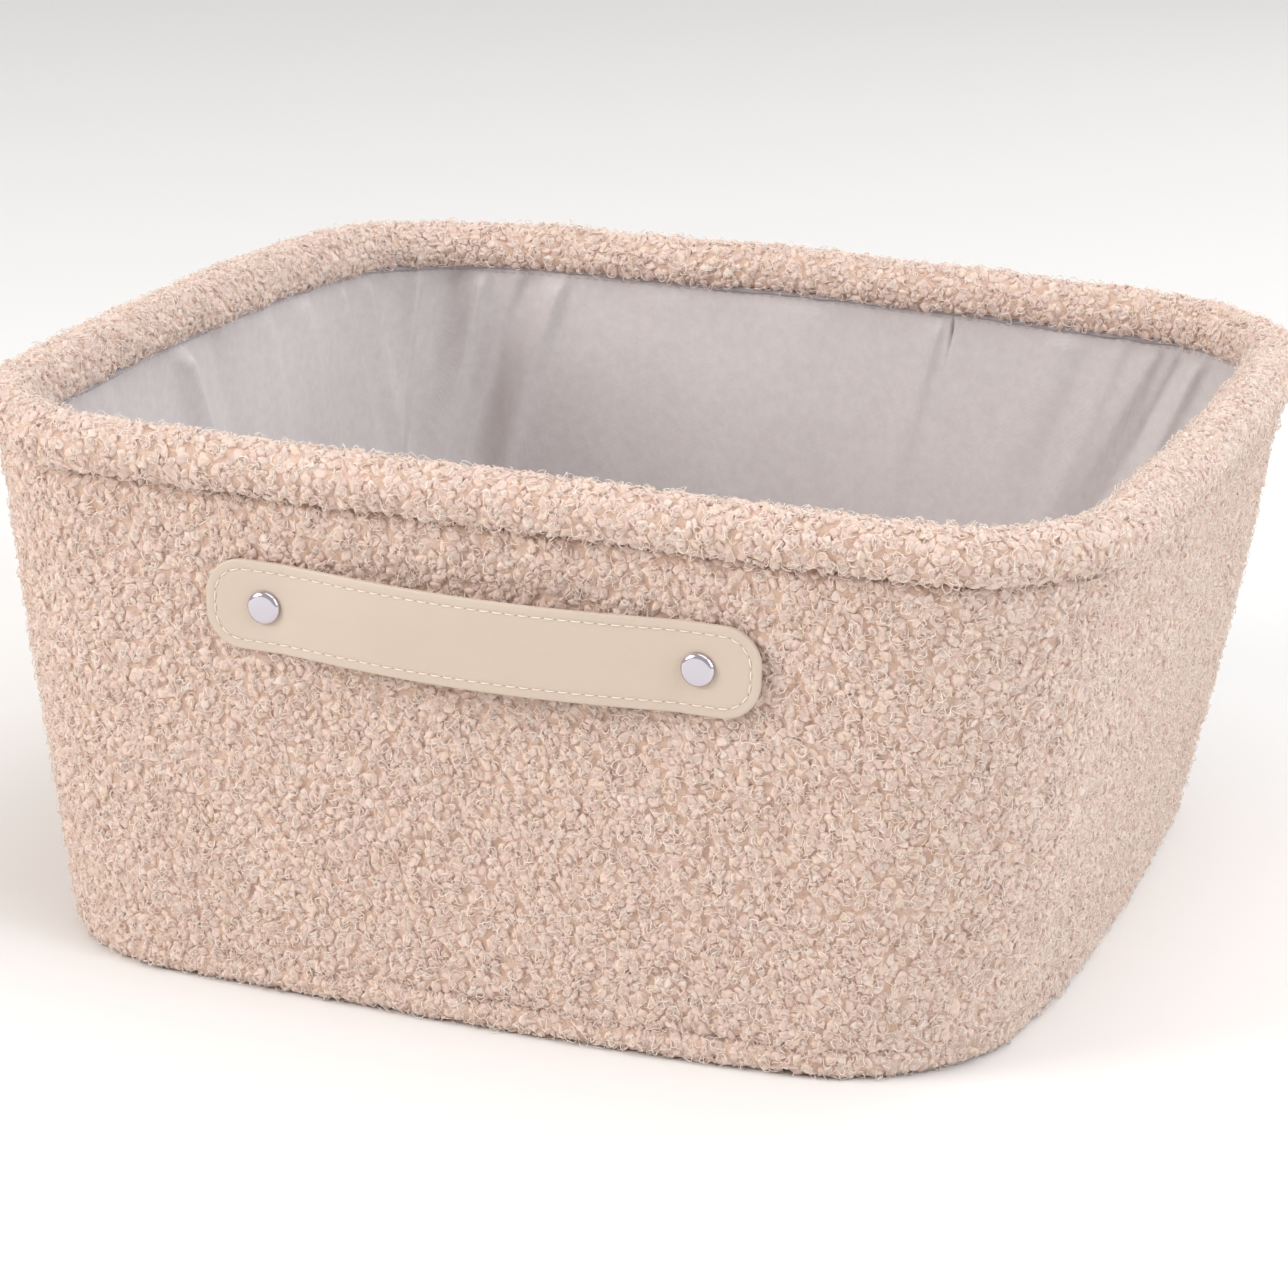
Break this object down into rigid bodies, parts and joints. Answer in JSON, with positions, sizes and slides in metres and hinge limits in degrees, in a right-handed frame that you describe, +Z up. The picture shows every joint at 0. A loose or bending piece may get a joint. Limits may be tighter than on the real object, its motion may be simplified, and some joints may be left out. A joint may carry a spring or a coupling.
{
  "type": "fabric storage bin",
  "caption": "Soft storage bin with looped-pile cloth walls, a padded rolled rim, a loose lining, a lift-out base board and riveted strap handles at front and back.",
  "frame": {"origin": "middle of the base on the floor, under the centre of the bounding box", "axes": "+Z up out of the open top; the front handle faces -Y; the longer sides run along X"},
  "size_m": [0.4038, 0.3906, 0.188],
  "materials": {
    "boucle": "pale pink-beige looped pile",
    "lining": "plain woven, warm grey, matt",
    "board": "uncoated grey-brown board",
    "foam": "open-cell foam, off-white",
    "wire": "drawn steel wire",
    "strap": "smooth cream imitation leather",
    "rivet": "polished"
  },
  "bodies": {
    "bin": {"outer_wall": "boucle", "outer_base": "boucle", "right_board": "board", "back_board": "board", "left_board": "board", "front_board": "board", "rim_hem": "boucle", "rim_foam": "foam", "rim_wire": "wire", "lining_wall": "lining", "lining_base": "lining", "front_strap_facing": "strap", "front_strap_backing": "strap", "front_rivet_cap_left": "rivet", "front_rivet_post_left": "rivet", "front_rivet_cap_right": "rivet", "front_rivet_post_right": "rivet", "back_strap_facing": "strap", "back_strap_backing": "strap", "back_rivet_cap_left": "rivet", "back_rivet_post_left": "rivet", "back_rivet_cap_right": "rivet", "back_rivet_post_right": "rivet"},
    "base_insert": {"insert_board": "board", "insert_cover": "lining"}
  },
  "joints": [
    {"name": "base_insert_lift", "type": "slide", "parent": "bin", "child": "base_insert", "axis": [0, 0, 1], "range_m": [0, 0.2]}
  ]
}
